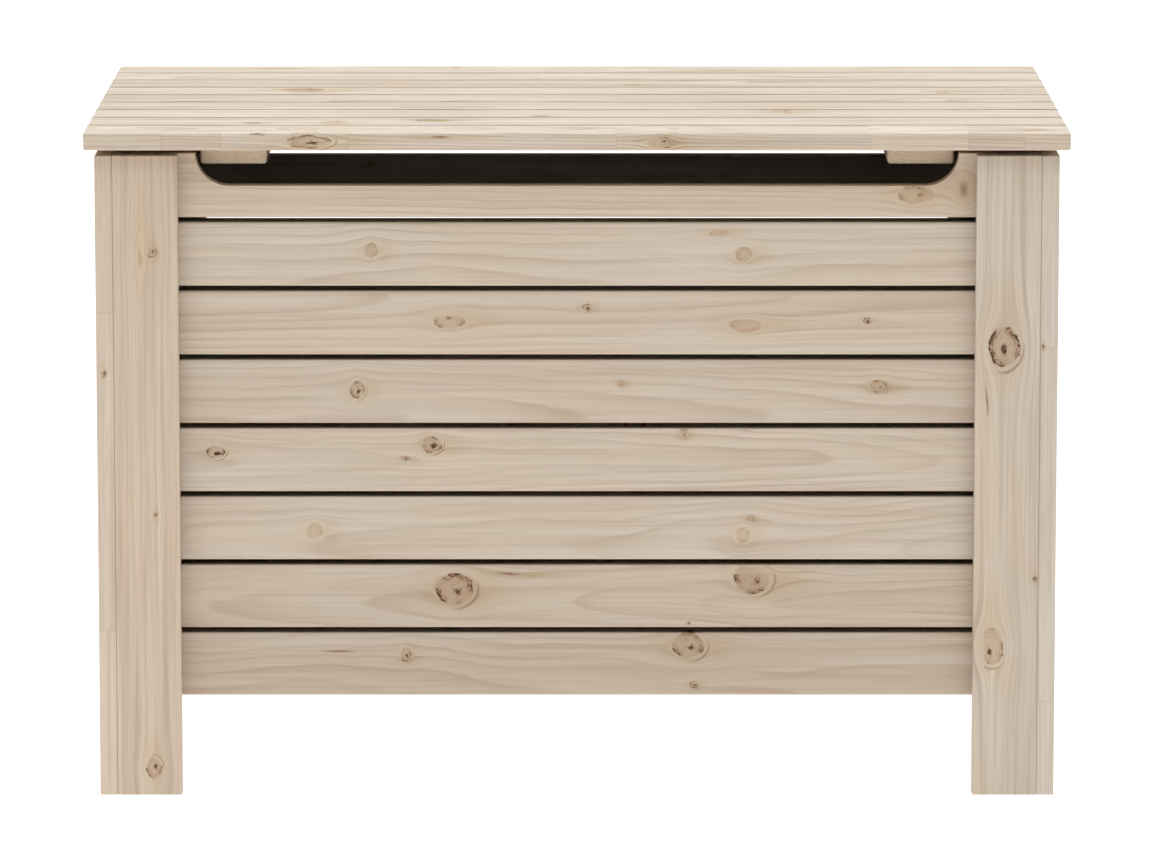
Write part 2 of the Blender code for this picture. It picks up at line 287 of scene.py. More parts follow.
def knot_group():
    """A knot: bends the grain around itself, and adds its body, dark strokes and halo to those found so far.

    x and y run along and across the board. unit_x and unit_y are the place from the knot's middle, in radii.
    """
    tree, at = new_group("knot", (
        "x", "y", "place x", "place y", "radius", "stretch", "dark", "cut x", "cut y", "core",
        "centre x", "centre y", "rim", "seed", "shown", "body", "stroke", "halo"))
    radius, seed = at["radius"], at["seed"]
    along = (at["x"] - at["place x"]) / at["stretch"]
    across = at["y"] - at["place y"]
    far = (along * along + across * across).root().more(TINY)
    round_x, round_y = along / far, across / far
    unit_x, unit_y = along / radius, across / radius

    wobble = noise(tree, vector(tree, round_x, round_y, seed), 1.0) - 0.5
    grit = noise(tree, vector(tree, unit_x * 3.2, unit_y * 3.2, seed), 2.5, 0.6) - 0.5
    distance = far / radius + wobble * 0.50 + grit * 0.10
    kept = (unit_x * at["cut x"] + unit_y * at["cut y"]).step(1.08, 0.92) * at["shown"]
    inside = distance.step(1.10, 0.86) * kept * at["rim"]
    arc = noise(tree, vector(tree, round_x * 0.8, round_y * 0.8, seed + 4.0), 0.0).step(0.36, 0.62)
    body = inside * (distance.step(0.1, 1.0) * (arc * 0.45 + 0.30) + grit * 0.8 + 0.34)

    broken = noise(tree, vector(tree, unit_x * 4.2, unit_y * 4.2, seed + 7.0), 2.0).step(0.36, 0.60)
    line = ((distance * 27.0 + grit * 9.0).sine() * 0.5 + 0.5).power(1.5)
    edge = distance.step(0.62, 0.92) * distance.step(1.12, 1.00)
    rim = edge * (line * 0.45 + broken * 0.60) * (arc * 0.95 + 0.15)
    partly = noise(tree, vector(tree, unit_x * 1.3, unit_y * 1.3, seed + 9.0), 1.0).step(0.40, 0.62)
    rings = line * partly * inside * 0.30
    core_x, core_y = unit_x - at["centre x"], unit_y - at["centre y"]
    middle = (core_x * core_x + core_y * core_y).root().more(0.01)
    ray = noise(tree, vector(tree, core_x / middle * 1.7, core_y / middle * 1.7, seed + 2.0), 1.0)
    core = (at["core"] * 0.20 - middle + grit * 0.9).step(-0.12, 0.18)
    core = core.more(ray.step(0.52, 0.70) * middle.step(0.75, 0.10) * at["core"] * 0.40)
    off = (at["centre x"] * at["centre x"] + at["centre y"] * at["centre y"]).root()
    lee = (round_x * at["centre x"] + round_y * at["centre y"]) / off
    bend = (distance - 1.42 + lee * 0.10 - wobble * 0.3).size().step(0.14, 0.01) * lee.step(0.25, 0.95) * 0.42
    stroke = rim.more(rings).more(core).more(bend) * kept * at["rim"]
    stroke = stroke.more(distance.step(1.1, 0.0) * (1.0 - at["rim"]) * 0.75) * at["dark"]

    halo_x = unit_x * 0.50 - 0.30
    glow = ((halo_x * halo_x + unit_y * unit_y).root() + wobble * 1.2).step(2.1, 0.4) * at["shown"]
    reach = (along * along * 0.70 + across * across).more(radius * radius) / (radius * radius)
    return close_group(tree, {
        "y": at["y"] - across / reach, "body": body.more(at["body"]), "stroke": stroke.more(at["stroke"]),
        "halo": glow.more(at["halo"])})


def pine_group():
    """Planed pine with its grain along X, from place and knots to colour, gloss and height.

    It has growth rings about a pith, fibres, streaks, knots, end grain and the dark lines of finger joints.
    """
    tree, at = new_group("planed pine", (
        "x", "y", "z", "side", "end", "offset", "pith y", "pith z", "spacing", "tilt y", "tilt z",
        "lines", "streaks", "lightness", "warmth", "joint", "body", "stroke", "halo"))
    x, y, z, offset, spacing = at["x"], at["y"], at["z"], at["offset"], at["spacing"]

    sway = noise(tree, vector(tree, x * 3.2, y * 9.0, offset), 1.5) - 0.5
    ripple = noise(tree, vector(tree, x * 11.0, y * 30.0, offset + 3.0), 2.5) - 0.5
    pith_y = y - at["pith y"] + x * at["tilt y"] + sway * 0.016 + ripple * 0.008
    pith_z = z - at["pith z"] + x * at["tilt z"] + sway * 0.010
    radius = (pith_y * pith_y + pith_z * pith_z).root() + ripple * 0.0016
    uneven = noise(tree, vector(tree, radius * 85.0, 0.0, offset), 1.0) - 0.5
    ring = (radius / spacing + uneven * 2.6).fraction()
    late = ring.power(4.0) * ring.step(1.0, 0.86)
    band = ring.power(1.5) * ring.step(1.0, 0.80)

    fibre = noise(tree, vector(tree, x * 16.0, y * 900.0, z * 900.0), 3.0, 0.65)
    streak = noise(tree, vector(tree, x * 4.5, y * 230.0, z * 230.0 + offset), 2.5)
    broad = noise(tree, vector(tree, x * 1.8, y * 70.0, z * 70.0 + offset), 1.5)
    fleck = noise(tree, vector(tree, x * 75.0, y * 1300.0, z * 1300.0 + offset), 1.0)
    cloud = noise(tree, vector(tree, x * 5.0 + offset, y * 22.0, z * 22.0), 2.0)
    patch = noise(tree, vector(tree, x * 4.0, y * 22.0 + offset, z * 22.0), 2.0).step(0.28, 0.66)

    lines = (late + band * 0.24) * (patch * 0.90 + 0.10) * (at["halo"] * 1.4 + 1.0) * at["lines"]
    colour = mix(tree, cloud.step(0.30, 0.70), EARLY_WOOD, EARLY_WOOD_GREY)
    colour = mix(tree, lines * (streak * 1.3 + 0.25), colour, LATE_WOOD)
    stripes = streak.step(0.52, 0.84) * at["streaks"] * 0.6 + fleck.step(0.68, 0.80) * 0.22
    colour = mix(tree, stripes, colour, LATE_WOOD)
    colour = mix(tree, at["halo"] * 0.42, colour, RESIN_STAIN)
    colour = mix(tree, at["body"] * 0.72, colour, KNOT_WOOD)
    colour = mix(tree, at["stroke"].step(0.0, 0.80), colour, KNOT_BROWN)
    colour = mix(tree, at["stroke"].step(0.62, 1.15), colour, KNOT_DARK)
    colour = mix(tree, at["end"] * (0.45 + 0.35 * late), colour, END_GRAIN)
    colour = mix(tree, at["joint"] * at["side"] * 0.22, colour, LATE_WOOD)
    fine = noise(tree, vector(tree, x * 7.0, y * 480.0, z * 480.0 + offset), 2.0) - 0.5
    lightness = ((fibre - 0.5) * 0.16 + (broad - 0.5) * 0.16 + (cloud - 0.5) * 0.08 + at["lightness"]
                 + (fine * 0.6 + (streak - 0.5)) * at["streaks"])
    warmth = at["warmth"] - (broad - 0.5) * 0.14 - (streak - 0.5) * 0.22
    tint = vector(tree, 1.0, 1.0 - warmth * 0.5, 1.0 - warmth)
    colour = scale_colour(tree, multiply(tree, colour, tint), lightness)

    gloss = 0.62 - late * 0.08 + (fibre - 0.5) * 0.12 - at["body"] * 0.12
    height = fibre * 0.5 + late * 0.6 - at["stroke"] * 1.2 + at["body"] * 0.5
    return close_group(tree, {"colour": colour, "gloss": gloss, "height": height},
                       {"colour": "NodeSocketColor"})


KNOT = knot_group()
PINE = pine_group()


def pine(name, seed, knots, joints, tone, warmth, rift, figure):
    """Pine for one board, with its knots and finger joints.

    tone and warmth shift its colour. A rift-sawn board has its pith far to one side, so that its lines run
    straight. figure scales how strongly the growth rings and streaks show. The pieces between finger joints
    differ in grain and lightness.
    """
    draw = random.Random(seed)
    material, tree, shader = new_material(name)
    point, normal = object_point(tree)
    x, y, z = point.parts()
    end, side = [part.size() for part in normal.parts()[:2]]
    offset = draw.uniform(0.0, 60.0)

    piece = 0.0
    line = 0.0
    for joint in joints:
        piece = x.above(joint) + piece
        line = (x - joint).size().step(0.0009, 0.0002).more(line)

    found = {"body": 0.0, "stroke": 0.0, "halo": 0.0}
    for number, knot in enumerate(knots):
        across = z if knot.edge else y
        found = use_group(tree, KNOT, {
            "x": x, "y": across, "place x": knot.along, "place y": knot.across, "radius": knot.radius,
            "stretch": knot.stretch, "dark": knot.dark, "cut x": knot.cut[0], "cut y": knot.cut[1],
            "core": knot.core, "centre x": knot.centre[0], "centre y": knot.centre[1],
            "rim": float(knot.rim), "seed": offset + 3.7 * number,
            "shown": side.step(0.55, 0.80) if knot.edge else 1.0,
            "body": found["body"], "stroke": found["stroke"], "halo": found["halo"]})
        if knot.edge:
            z = found["y"]
        else:
            y = found["y"]

    if rift:
        pith = (draw.choice((-1, 1)) * draw.uniform(0.10, 0.16), -draw.uniform(0.01, 0.04))
        lines, streaks = 0.22, 0.56
    else:
        pith = (draw.uniform(-0.034, 0.034), -draw.uniform(0.035, 0.090))
        lines, streaks = draw.uniform(0.50, 0.74), 0.30
    shift = piece * 0.37 + offset if joints else offset
    lightness = 1.0 + tone
    if joints:
        lightness = noise(tree, vector(tree, piece * 5.3, offset, 0.5), 0.0) * 0.20 + (lightness - 0.10)
    result = use_group(tree, PINE, {
        "x": x, "y": y, "z": z, "side": side.step(0.60, 0.90), "end": end.step(0.75, 0.95),
        "offset": shift, "pith y": pith[0], "pith z": pith[1] - piece * 0.0137,
        "spacing": draw.uniform(0.0022, 0.0040), "tilt y": draw.uniform(-0.012, 0.012),
        "tilt z": draw.uniform(-0.022, 0.022), "lines": lines * figure, "streaks": streaks * figure,
        "lightness": lightness, "warmth": warmth, "joint": line, "body": found["body"],
        "stroke": found["stroke"], "halo": found["halo"]})
    tree.links.new(result["colour"].socket, shader.inputs["Base Color"])
    tree.links.new(result["gloss"].socket, shader.inputs["Roughness"])
    shader.inputs["Specular IOR Level"].default_value = 0.35
    add_bump(tree, shader, result["height"], 0.00020)
    return material


# ---------------------------------------------------------------- boards

# Knots on the front of the box, by board
FRONT_KNOTS = {
    "front_plank_8": [
        Knot(0.302, -0.009, 0.0080, 0.62, 1.6, core=0.9, centre=(0.45, 0.10)),
        Knot(0.347, -0.004, 0.0115, 0.72, 0.6, rim=False)],
    "front_plank_7": [
        Knot(-0.185, 0.004, 0.0065, 0.34, 0.9, core=0.4), Knot(0.150, 0.000, 0.0070, 0.34, 1.0, core=0.4),
        Knot(0.128, 0.018, 0.0030, 0.25, 3.0)],
    "front_plank_6": [
        Knot(-0.115, 0.003, 0.0085, 0.65, 1.6, cut=(0.0, 2.6), centre=(0.0, 0.25)),
        Knot(0.009, 0.014, 0.0030, 1.1, 1.2), Knot(0.152, -0.002, 0.0060, 0.30, 2.4, core=0.3),
        Knot(0.261, 0.002, 0.0026, 1.3, 1.3)],
    "front_plank_5": [
        Knot(-0.198, 0.002, 0.0080, 0.95, 0.8, core=1.5), Knot(0.040, 0.007, 0.0030, 0.4, 1.0),
        Knot(0.272, 0.005, 0.0055, 0.75, 1.4)],
    "front_plank_4": [
        Knot(-0.131, 0.014, 0.0070, 1.25, 1.2, core=1.8), Knot(-0.326, 0.007, 0.0055, 1.15, 1.5, core=1.8),
        Knot(0.096, 0.024, 0.0040, 0.5, 0.8), Knot(-0.155, 0.003, 0.0018, 0.9, 2.2)],
    "front_plank_3": [
        Knot(-0.237, -0.002, 0.0075, 0.30, 0.9, core=0.4), Knot(0.150, -0.006, 0.0070, 0.32, 0.9, core=0.3),
        Knot(0.158, 0.006, 0.0035, 0.4, 1.2)],
    "front_plank_2": [
        Knot(-0.111, 0.007, 0.0140, 1.20, 1.15, core=1.1),
        Knot(0.158, 0.016, 0.0132, 1.00, 1.20, cut=(0.0, 3.0), centre=(0.30, -0.12)),
        Knot(-0.062, 0.019, 0.0024, 0.85, 9.0, rim=False), Knot(0.101, -0.022, 0.0018, 1.3, 1.0)],
    "front_plank_1": [
        Knot(-0.215, 0.012, 0.0020, 0.8, 12.0, rim=False), Knot(-0.155, 0.009, 0.0060, 0.95, 0.8, core=1.4),
        Knot(0.101, 0.017, 0.0115, 1.00, 1.2), Knot(0.106, -0.015, 0.0035, 1.25, 1.0, core=1.4)],
    "leg_front_left_face": [
        Knot(0.204, -0.006, 0.0042, 0.95, 1.0, core=1.3), Knot(0.200, 0.003, 0.0040, 0.45, 4.0, rim=False),
        Knot(-0.267, -0.004, 0.0070, 0.95, 1.3, core=1.4), Knot(-0.035, -0.007, 0.0018, 1.00, 1.4)],
    "leg_front_right_face": [
        Knot(0.119, 0.004, 0.0132, 1.20, 1.36, core=1.1, centre=(-0.14, -0.12)),
        Knot(-0.155, 0.013, 0.0115, 1.00, 1.35, cut=(0.0, 2.0), centre=(-0.30, 0.05)),
        Knot(-0.093, -0.024, 0.0020, 1.30, 1.2), Knot(0.070, 0.016, 0.0016, 0.85, 14.0, rim=False)],
    "leg_front_left_side": [Knot(0.094, 0.001, 0.0022, 1.1, 1.4, edge=True)],
    "leg_front_right_side": [Knot(0.119, -0.005, 0.0018, 1.1, 1.6, edge=True)],
    "lid_slat_1": [
        Knot(-0.240, 0.000, 0.0058, 1.00, 3.2, edge=True, core=1.6),
        Knot(0.074, -0.001, 0.0052, 0.85, 2.0, cut=(1.18, 0.0), edge=True, centre=(0.40, 0.30)),
        Knot(-0.122, 0.004, 0.0018, 0.9, 8.0, edge=True, rim=False),
        Knot(-0.286, 0.0065, 0.0018, 1.4, 3.4, edge=True)],
}
# Where boards are glued from shorter pieces, along the board
FINGER_JOINTS = {
    "lid_slat_1": (-0.372, -0.318, -0.255, -0.205, 0.035, 0.0825, 0.262, 0.350, 0.400),
    "leg_front_left_side": (-0.140, 0.150),
    "leg_front_right_side": (-0.205, 0.118),
}
# Lightness and warmth of the boards at the front, partly their own tone and partly painted light and shade; the
# others get theirs at random
TONES_AND_PAINTED_LIGHT = {
    # Front planks: partly their own tone, partly painted shade that makes them darker and warmer towards the floor
    # and lightest at the top
    "front_plank_8": (0.15, 0.01), "front_plank_7": (0.06, -0.03), "front_plank_6": (0.03, 0.00),
    "front_plank_5": (0.00, 0.00), "front_plank_4": (0.02, -0.02), "front_plank_3": (0.02, -0.03),
    "front_plank_2": (-0.06, 0.02), "front_plank_1": (-0.11, 0.04),
    # Front legs: painted light, warmer and a little lighter on the left and cooler on the right, as if lit from
    # the left
    "leg_front_left_face": (0.04, 0.07), "leg_front_right_face": (0.00, -0.02),
    "leg_front_left_side": (0.05, 0.03), "leg_front_right_side": (0.04, -0.10),
    # Battens: painted light, made lighter against the shade that the lid's overhang casts on them
    "lid_batten_left": (0.22, 0.06), "lid_batten_right": (0.22, 0.04),
}
# Painted top light added to the lightness and warmth of the lid's slats, which makes them lighter and less warm,
# and how strongly their growth rings show
LID_PAINTED_LIGHT_TONE = 0.040
LID_PAINTED_LIGHT_WARMTH = -0.025
LID_FIGURE = 1.8


def board_axes(node):
    """A board's middle, its grain, width and outward directions, and its size along each."""
    low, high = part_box(node)
    size = high - low
    order = sorted(range(3), key=lambda axis: size[axis])
    middle = (low + high) / 2
    grain = Vector([1.0 if axis == order[2] else 0.0 for axis in range(3)])
    sign = 1.0
    if node.startswith("lid_batten"):
        sign = -1.0
    elif not node.startswith("lid"):
        sign = math.copysign(1.0, middle[order[0]])
    outward = Vector([sign if axis == order[0] else 0.0 for axis in range(3)])
    width = outward.cross(grain)
    return middle, (grain, width, outward), (size[order[2]], size[order[1]], size[order[0]])


def finish_mesh(piece, radius_of):
    """Round a piece's sharp edges, each by radius_of(its middle, its direction); its faces stay flat."""
    shape = bmesh.new()
    shape.from_mesh(piece.data)
    weight = shape.edges.layers.float.new("bevel_weight_edge")
    radii = {}
    for edge in shape.edges:
        if edge.calc_face_angle(0.0) > SHARP_EDGE:
            first, last = (vertex.co for vertex in edge.verts)
            radii[edge] = radius_of((first + last) / 2, (last - first).normalized())
    widest = max(radii.values())
    for edge, radius in radii.items():
        edge[weight] = radius / widest
    shape.to_mesh(piece.data)
    shape.free()
    piece.data.shade_smooth()
    bevel = piece.modifiers.new("edge", 'BEVEL')
    bevel.width = widest
    bevel.segments = 4
    bevel.limit_method = 'WEIGHT'
    bevel.harden_normals = True
    settle(piece)


def settle(piece):
    """Replace a piece's mesh by its evaluated mesh."""
    bpy.context.view_layer.update()
    graph = bpy.context.evaluated_depsgraph_get()
    mesh = bpy.data.meshes.new_from_object(piece.evaluated_get(graph))
    piece.modifiers.clear()
    piece.data = mesh


def new_piece(name, shape, material=None):
    mesh = bpy.data.meshes.new(name)
    shape.to_mesh(mesh)
    shape.free()
    piece = bpy.data.objects.new(name, mesh)
    bpy.context.scene.collection.objects.link(piece)
    if material:
        mesh.materials.append(material)
    return piece


def box_shape(size):
    shape = bmesh.new()
    bmesh.ops.create_cube(shape, size=1.0, matrix=Matrix.Diagonal((*size, 1.0)))
    return shape


def cut_hand_opening(piece):
    """The wide opening at the top of the front wall; the plank's own Y is up."""
    low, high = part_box("front_plank_8")
    depth = 0.080
    thickness = 0.060
    shape = box_shape((CUTOUT_WIDTH, depth, thickness))
    corners = []
    for edge in shape.edges:
        first, last = (vertex.co for vertex in edge.verts)
        if abs(first.z - last.z) > thickness / 2 and first.y < 0.0:
            corners.append(edge)
    bmesh.ops.bevel(shape, geom=corners, offset=CUTOUT_CORNER, segments=24, profile=0.5, affect='EDGES')
    cutter = new_piece("opening", shape)
    cutter.location.y = CUTOUT_BOTTOM + depth / 2 - (low.z + high.z) / 2
    bpy.context.view_layer.update()
    step = piece.modifiers.new("opening", 'BOOLEAN')
    step.operation = 'DIFFERENCE'
    step.object = cutter
    settle(piece)
    bpy.data.objects.remove(cutter)


def random_knots(draw, length, width):
    """Up to three knots for a board that the front doesn't show."""
    knots = []
    for _ in range(draw.choice((0, 1, 1, 2, 2, 3))):
        radius = draw.choice((0.002, 0.003, 0.005, 0.007, 0.009, 0.012))
        along = round(draw.uniform(-0.46, 0.46) * length, 3)
        across = round(draw.uniform(-0.36, 0.36) * width, 3)
        knots.append(Knot(along, across, radius, draw.uniform(0.4, 0.9), draw.uniform(0.9, 1.5)))
    return knots


def edge_rounding(node, size):
    """How much each edge of a board is rounded; the lid's slats are rounder at the lid's outline."""
    if node.startswith("lid_batten"):
        return lambda middle, direction: BATTEN_EDGE
    if not node.startswith("lid"):
        radius = LEG_EDGE if node.startswith("leg") else PLANK_EDGE
        return lambda middle, direction: radius
    outer = {"lid_slat_1": -1.0, "lid_slat_9": 1.0}.get(node, 0.0)

    def radius_of(middle, direction):
        at_outline = outer * middle.y > size[1] * 0.4
        at_end = abs(middle.x) > size[0] * 0.4 and abs(direction.y) > 0.5
        return LID_OUTER_EDGE if at_outline or at_end else LID_INNER_EDGE
    return radius_of


def make_board(node, number):
    """A wooden board with its own grain and rounded edges, in place of its CAD node."""
    middle, axes, size = board_axes(node)
    draw = random.Random(1000 + number)
    knots = FRONT_KNOTS[node] if node in FRONT_KNOTS else random_knots(draw, size[0], size[1])
    # The tones listed for the front boards carry painted light and shade
    tone, warmth = TONES_AND_PAINTED_LIGHT.get(node, (draw.uniform(-0.04, 0.03), draw.uniform(-0.03, 0.03)))
    on_lid = node.startswith("lid_slat")
    if on_lid:
        # Painted top light: the lid's slats are made lighter and less warm
        tone += LID_PAINTED_LIGHT_TONE
        warmth += LID_PAINTED_LIGHT_WARMTH
    joints = FINGER_JOINTS.get(node, ())
    material = pine(f"pine_{node}", 40 + number, knots, joints, tone, warmth,
                    rift=node.startswith("leg"), figure=LID_FIGURE if on_lid else 1.0)
    if node.startswith("leg") and node.endswith("face"):
        size = (size[0], size[1] + LEG_SEAM, size[2])
        middle = middle + Vector((math.copysign(LEG_SEAM / 2, middle.x), 0.0, 0.0))
    piece = new_piece(f"{node}_board", box_shape(size), material)
    if node == "front_plank_8":
        cut_hand_opening(piece)
    finish_mesh(piece, edge_rounding(node, size))
    piece.matrix_world = Matrix.Translation(middle) @ Matrix(axes).transposed().to_4x4()
    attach(piece, BODY_OF_NODE[node])
    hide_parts(node)


def nodes_with_slot(slot):
    return [subpart["node"] for subpart in SUBPARTS if subpart["material_slot"] == slot]


for number, node in enumerate(sorted(nodes_with_slot("pine"))):
    make_board(node, number)


# ---------------------------------------------------------------- metal

def plated_steel(name):
    """Zinc-plated sheet: pale grey with a faint blue-yellow cast and fine brushing."""
    material, tree, shader = new_material(name)
    x, y, z = object_point(tree)[0].parts()
    brushed = noise(tree, vector(tree, x * 60.0, y * 1500.0, z * 1500.0), 2.0)
    cast = noise(tree, vector(tree, x * 45.0, y * 45.0, z * 45.0), 3.0)
    colour = mix(tree, cast.step(0.35, 0.70), (0.60, 0.61, 0.62), (0.66, 0.63, 0.56))
    colour = scale_colour(tree, colour, brushed * 0.25 + 0.85)
    tree.links.new(colour.socket, shader.inputs["Base Color"])
    shader.inputs["Metallic"].default_value = 1.0
    gloss = brushed * 0.14 + cast * 0.10 + 0.24
    tree.links.new(gloss.socket, shader.inputs["Roughness"])
    add_bump(tree, shader, brushed, 0.00004)
    return material


def set_material(node, material):
    NODES[node].data.materials.clear()
    NODES[node].data.materials.append(material)


STEEL = plated_steel("plated_steel")
for node in nodes_with_slot("plated_steel"):
    set_material(node, STEEL)


# ---------------------------------------------------------------- screws and bumpers

# How far a screw's head stands above the face that it is in
HEAD_HEIGHT = 0.0002
# The least overlap of a batten and a slat that takes two screws
ROOM_FOR_TWO = 0.030


def screw_head(radius):
    """A countersunk head with a cross recess, its flat top at z = 0."""
    sink = 0.0020
    shape = bmesh.new()
    bmesh.ops.create_cone(shape, cap_ends=True, segments=28, radius1=radius * 0.45, radius2=radius,
                          depth=sink, matrix=Matrix.Translation((0.0, 0.0, -sink / 2)))
    rim = [edge for edge in shape.edges if all(vertex.co.z > -1e-6 for vertex in edge.verts)]
    bmesh.ops.bevel(shape, geom=rim, offset=radius * 0.08, segments=2, profile=0.5, affect='EDGES')
    head = new_piece("head", shape)
    head.data.shade_smooth()
    for angle in (45.0, 135.0):
        bar = new_piece("bar", box_shape((radius * 1.10, radius * 0.26, radius * 0.70)))
        bar.rotation_euler.z = math.radians(angle)
        bpy.context.view_layer.update()
        cut = head.modifiers.new("cut", 'BOOLEAN')
        cut.operation = 'DIFFERENCE'
        cut.object = bar
        settle(head)
        bpy.data.objects.remove(bar)
    mesh = head.data
    mesh.set_sharp_from_angle(angle=SHARP_EDGE)
    bpy.data.objects.remove(head)
    return mesh


def facing(place, direction, spin):
    """Where a head goes: its top at place, looking along direction."""
    turn = Vector(direction).to_track_quat('Z', 'Y').to_matrix().to_4x4()
    return Matrix.Translation(place) @ turn @ Matrix.Rotation(spin, 4, 'Z')


def make_screws(name, head, places, body, material):
    """One piece that holds all the screws of a kind on a body."""
    draw = random.Random(name)
    shape = bmesh.new()
    for place, direction in places:
        copy = head.copy()
        copy.transform(facing(Vector(place), direction, draw.uniform(0.0, math.pi)))
        shape.from_mesh(copy)
        bpy.data.meshes.remove(copy)
    piece = new_piece(name, shape, material)
    piece.data.shade_smooth()
    piece.data.set_sharp_from_angle(angle=SHARP_EDGE)
    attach(piece, body)


def wall_screws():
    """Two screws through each plank end, from inside the box into the leg behind it.

    Each is a place along the plank from the box's middle, and a share of the plank's height.
    """
    for index in range(1, 9):
        for wall, inward in (("front", 1.0), ("back", -1.0)):
            low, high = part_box(f"{wall}_plank_{index}")
            y = (high.y if inward > 0 else low.y) + inward * HEAD_HEIGHT
            for side in (-1, 1):
                for x, z in ((0.370, 0.30), (0.388, 0.70)):
                    if wall == "front" and index == 8 and z > 0.5:
                        x, z = 0.388, 0.62
                    yield (side * x, y, low.z + (high.z - low.z) * z), (0.0, inward, 0.0)
        for wall, inward in (("left", 1.0), ("right", -1.0)):
            low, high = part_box(f"{wall}_plank_{index}")
            x = (high.x if inward > 0 else low.x) + inward * HEAD_HEIGHT
            for end in (-1, 1):
                for y, z in ((0.214, 0.28), (0.222, 0.72)):
                    yield (x, end * y, low.z + (high.z - low.z) * z), (inward, 0.0, 0.0)


def batten_screws():
    """Two screws up through each batten into every slat it crosses, one where it only reaches part of it."""
    for side in ("left", "right"):
        low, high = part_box(f"lid_batten_{side}")
        middle = (low.x + high.x) / 2
        for index in range(1, 10):
            slat_low, slat_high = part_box(f"lid_slat_{index}")
            start, end = max(low.y, slat_low.y), min(high.y, slat_high.y)
            centre = (start + end) / 2
            if end - start < ROOM_FOR_TWO:
                yield (middle, centre, low.z - HEAD_HEIGHT), (0.0, 0.0, -1.0)
                continue
            for dx, dy in ((-0.014, -0.012), (0.014, 0.012)):
                yield (middle + dx, centre + dy, low.z - HEAD_HEIGHT), (0.0, 0.0, -1.0)


# Screws of a hinge's leaf: sideways from its middle, and share of its depth from the pin
HINGE_SCREWS = ((-0.016, 0.72), (0.016, 0.72), (0.0, 0.38))
HINGE_LEAF = 0.042
HINGE_AXIS = Vector(next(joint["pos_m"] for joint in frame["joints"] if joint["name"] == "lid_hinge"))
# Faces that the screws' heads are in: the box leaves in Y, the lid leaves below their top, the stay's wall
# plate in X, and its lid bracket below its top
BOX_LEAF_FACE = 0.2669
LID_LEAF_DROP = 0.0016
WALL_PLATE_FACE = 0.3974
BRACKET_DROP = 0.0023


def hinge_screws(leaf):
    """Three screws in both hinges' box leaves or lid leaves."""
    for side in ("left", "right"):
        low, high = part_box(f"hinge_{side}_{leaf}_leaf")
        middle = (low.x + high.x) / 2
        for dx, share in HINGE_SCREWS:
            depth = HINGE_LEAF * share
            if leaf == "box":
                yield (middle + dx, BOX_LEAF_FACE, HINGE_AXIS.z - depth), (0.0, 1.0, 0.0)
            else:
                yield (middle + dx, HINGE_AXIS.y - depth, high.z - LID_LEAF_DROP), (0.0, 0.0, -1.0)


def stay_screws(piece):
    """Two screws in the stay's wall plate or in its lid bracket."""
    low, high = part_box(piece)
    if piece == "stay_wall_plate":
        middle = (low.z + high.z) / 2
        for z in (middle - 0.016, middle + 0.016):
            yield (WALL_PLATE_FACE, low.y + 0.006, z), (-1.0, 0.0, 0.0)
    else:
        for y in (low.y + 0.007, high.y - 0.007):
            yield (low.x + 0.008, y, high.z - BRACKET_DROP), (0.0, 0.0, -1.0)


WOOD_SCREW = screw_head(0.0036)
HINGE_SCREW = screw_head(0.0030)
make_screws("wall_screws", WOOD_SCREW, wall_screws(), "chest", STEEL)
make_screws("batten_screws", WOOD_SCREW, batten_screws(), "lid", STEEL)
make_screws("hinge_box_screws", HINGE_SCREW, hinge_screws("box"), "chest", STEEL)
make_screws("hinge_lid_screws", HINGE_SCREW, hinge_screws("lid"), "lid", STEEL)
make_screws("stay_wall_screws", HINGE_SCREW, stay_screws("stay_wall_plate"), "chest", STEEL)
make_screws("stay_lid_screws", HINGE_SCREW, stay_screws("stay_lid_bracket"), "lid", STEEL)


def rubber(name):
    """Black rubber with a fine grain."""
    material, tree, shader = new_material(name)
    x, y, z = object_point(tree)[0].parts()
    grain = noise(tree, vector(tree, x * 900.0, y * 900.0, z * 900.0), 3.0)
    colour = mix(tree, grain, (0.018, 0.017, 0.016), (0.040, 0.038, 0.036))
    tree.links.new(colour.socket, shader.inputs["Base Color"])
    gloss = grain * 0.2 + 0.6
    tree.links.new(gloss.socket, shader.inputs["Roughness"])
    add_bump(tree, shader, grain, 0.0001)
    return material


def make_bumpers():
    """A rubber stud on each front leg, which the closed lid rests on."""
    radius = 0.0055
    clearance = 0.0002
    from_back_end = 0.009
    material = rubber("rubber")
    for side in ("left", "right"):
        low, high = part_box(f"leg_front_{side}_side")
        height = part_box("lid_slat_1")[0].z - high.z - clearance
        shape = bmesh.new()
        bmesh.ops.create_cone(shape, cap_ends=True, segments=40, radius1=radius, radius2=radius * 0.82,
                              depth=height)
        stud = new_piece(f"bumper_{side}", shape, material)
        finish_mesh(stud, lambda middle, direction: 0.0012)
        stud.location = ((low.x + high.x) / 2, high.y - from_back_end, high.z + height / 2)
        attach(stud, "chest")


make_bumpers()


# ---------------------------------------------------------------- bottom

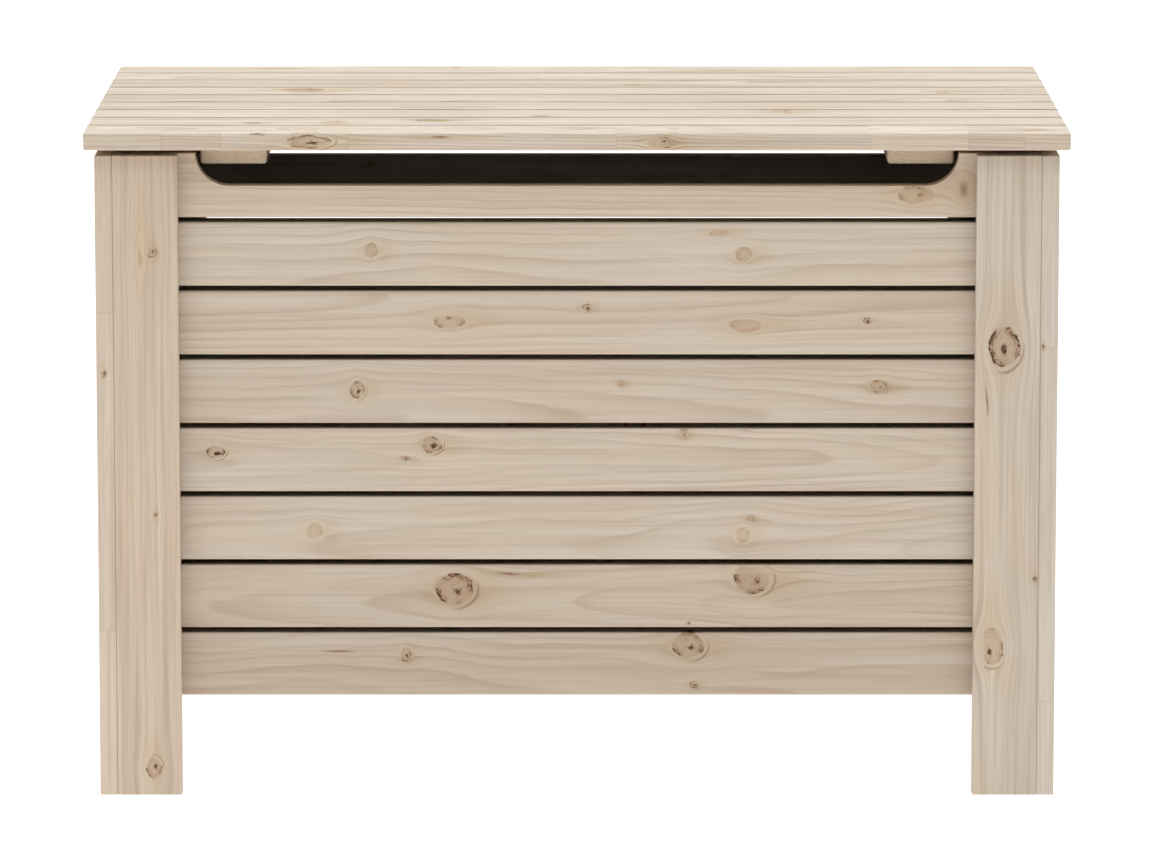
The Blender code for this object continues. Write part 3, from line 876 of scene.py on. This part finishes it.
def plywood(name):
    """Rotary-cut face veneer: broad flame figure along X, darkened as painted shade for the inside of the box."""
    material, tree, shader = new_material(name)
    x, y, z = object_point(tree)[0].parts()
    sway = noise(tree, vector(tree, x * 2.4, y * 7.0, 3.0), 2.0)
    ring = (sway * 14.0 + y * 22.0).fraction()
    late = ring.power(2.4) * ring.step(1.0, 0.88)
    fibre = noise(tree, vector(tree, x * 30.0, y * 700.0, z * 700.0), 3.0)
    # The veneer's colours are darkened: painted shade that keeps the inside of the box dark
    colour = mix(tree, late * 0.45, (0.50, 0.37, 0.24), (0.36, 0.24, 0.14))
    colour = scale_colour(tree, colour, fibre * 0.16 + 0.92)
    tree.links.new(colour.socket, shader.inputs["Base Color"])
    gloss = fibre * 0.12 + 0.56
    tree.links.new(gloss.socket, shader.inputs["Roughness"])
    add_bump(tree, shader, fibre, 0.0001)
    return material


set_material("bottom_panel", plywood("plywood"))


# ---------------------------------------------------------------- studio

LAMP_SIZE = (3.6, 7.0)
LAMP_POWER = 210.0
LAMP_Y = -0.6
LAMP_HEIGHT = 5.5
# How far the camera looks down, in degrees
CAMERA_TILT = 9.03


def make_floor():
    """A white floor, bright enough to light the wood from below and to keep the shadow on it faint."""
    half_width = 7.0
    grey = 0.24
    glow = 1.07
    shape = bmesh.new()
    bmesh.ops.create_grid(shape, x_segments=1, y_segments=1, size=half_width)
    material, tree, shader = new_material("floor")
    shader.inputs["Base Color"].default_value = (grey, grey, grey, 1.0)
    shader.inputs["Roughness"].default_value = 0.9
    shader.inputs["Specular IOR Level"].default_value = 0.1
    shader.inputs["Emission Color"].default_value = (1.0, 1.0, 1.0, 1.0)
    shader.inputs["Emission Strength"].default_value = glow
    material.cycles.emission_sampling = 'NONE'
    floor = new_piece("floor", shape, material)


def make_light(name, x, colour):
    """A large soft lamp high above the box, looking straight down."""
    lamp = bpy.data.lights.new(name, 'AREA')
    lamp.shape = 'RECTANGLE'
    lamp.size, lamp.size_y = LAMP_SIZE
    lamp.energy = LAMP_POWER
    lamp.color = colour
    light = bpy.data.objects.new(name, lamp)
    light.location = (x, LAMP_Y, LAMP_HEIGHT)
    light.rotation_euler = Vector((0.0, 0.0, -1.0)).to_track_quat('-Z', 'Y').to_euler()
    bpy.context.scene.collection.objects.link(light)


def make_world():
    """A soft sky, dim near the horizon; plain white where the camera sees it."""
    world = bpy.data.worlds.new("studio")
    world.use_nodes = True
    tree = world.node_tree
    direction = Term(tree, tree.nodes.new("ShaderNodeTexCoord").outputs["Generated"])
    up = direction.parts()[2]
    sky = up.step(0.30, 0.95) * 0.40 + 0.02
    seen = Term(tree, tree.nodes.new("ShaderNodeLightPath").outputs["Is Camera Ray"])
    shade = tree.nodes["Background"]
    shade.inputs["Color"].default_value = (1.0, 1.0, 1.0, 1.0)
    feed(tree, shade.inputs["Strength"], sky.more(seen))
    bpy.context.scene.world = world


def make_camera():
    lens = bpy.data.cameras.new("camera")
    lens.lens = 231.1
    lens.sensor_width = 36.0
    lens.clip_end = 100.0
    camera = bpy.data.objects.new("camera", lens)
    camera.location = (0.0, -6.848, 1.379)
    camera.rotation_euler = (math.radians(90.0 - CAMERA_TILT), 0.0, 0.0)
    bpy.context.scene.collection.objects.link(camera)
    bpy.context.scene.camera = camera


make_floor()
make_world()
make_light("overhead_left", -1.9, (0.94, 1.02, 1.115))
make_light("overhead_right", 1.9, (0.93, 1.02, 1.125))
make_camera()
bpy.context.scene.view_settings.view_transform = 'Standard'
# One bounce of light keeps the inside of the box dark
bpy.context.scene.cycles.diffuse_bounces = 1
